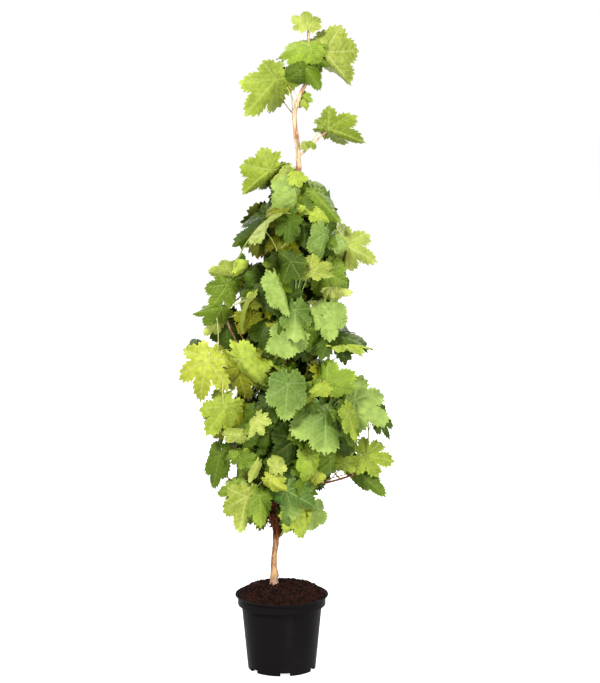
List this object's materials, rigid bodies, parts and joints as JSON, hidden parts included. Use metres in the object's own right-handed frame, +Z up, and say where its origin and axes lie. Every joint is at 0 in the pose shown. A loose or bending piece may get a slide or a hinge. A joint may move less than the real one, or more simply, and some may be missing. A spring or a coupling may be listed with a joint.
{
  "type": "potted grapevine",
  "caption": "Young grapevine in full leaf, trained upright as one slender cane with lobed leaves, in a round black nursery pot filled with dark soil.",
  "frame": {"origin": "centre of the pot's flat underside", "axes": "+Z up along the vine, +X to the right and -Y towards the front of the plant"},
  "size_m": [0.4283, 0.2267, 1.328],
  "materials": {
    "pot_plastic": "satin black moulded plastic",
    "peat": "crumbly moist peat",
    "old_bark": "flaky reddish-brown bark",
    "green_wood": "smooth striated cane, yellow-green at the tips",
    "foliage": "soft satin leaf, paler below"
  },
  "bodies": {
    "root": {"high_right_limb": "green_wood", "leaves_01_back": "foliage", "leaves_01_centre": "foliage", "leaves_01_left": "foliage", "leaves_01_left_tip": "foliage", "leaves_01_low": "foliage", "leaves_02_back": "foliage", "leaves_02_centre": "foliage", "leaves_02_left": "foliage", "leaves_02_left_tip": "foliage", "leaves_02_right": "foliage", "leaves_02_right_tip": "foliage", "leaves_03_back_left": "foliage", "leaves_03_back_right": "foliage", "leaves_03_left": "foliage", "leaves_03_left_tip": "foliage", "leaves_03_right": "foliage", "leaves_04_back": "foliage", "leaves_04_centre": "foliage", "leaves_04_left": "foliage", "leaves_04_left_tip": "foliage", "leaves_04_right": "foliage", "leaves_04_right_tip": "foliage", "leaves_05_back_left": "foliage", "leaves_05_back_right": "foliage", "leaves_05_centre": "foliage", "leaves_05_left": "foliage", "leaves_05_left_tip": "foliage", "leaves_05_right": "foliage", "leaves_05_right_tip": "foliage", "leaves_06_centre": "foliage", "leaves_06_left_tip": "foliage", "leaves_06_right": "foliage", "leaves_07_back": "foliage", "leaves_07_centre": "foliage", "leaves_07_left": "foliage", "leaves_07_left_tip": "foliage", "leaves_08_back": "foliage", "leaves_08_centre": "foliage", "leaves_08_right": "foliage", "leaves_08_right_tip": "foliage", "leaves_09_back": "foliage", "leaves_09_centre": "foliage", "leaves_09_left": "foliage", "leaves_09_right": "foliage", "leaves_10_collar": "foliage", "leaves_10_left": "foliage", "leaves_11_left": "foliage", "leaves_11_neck": "foliage", "leaves_11_right": "foliage", "leaves_12_left": "foliage", "leaves_12_right": "foliage", "leaves_12_tip": "foliage", "left_limb": "green_wood", "low_right_limb": "green_wood", "main_shoot": "green_wood", "pot": "pot_plastic", "side_arm": "old_bark", "soil": "peat", "trunk": "old_bark"}
  },
  "joints": []
}
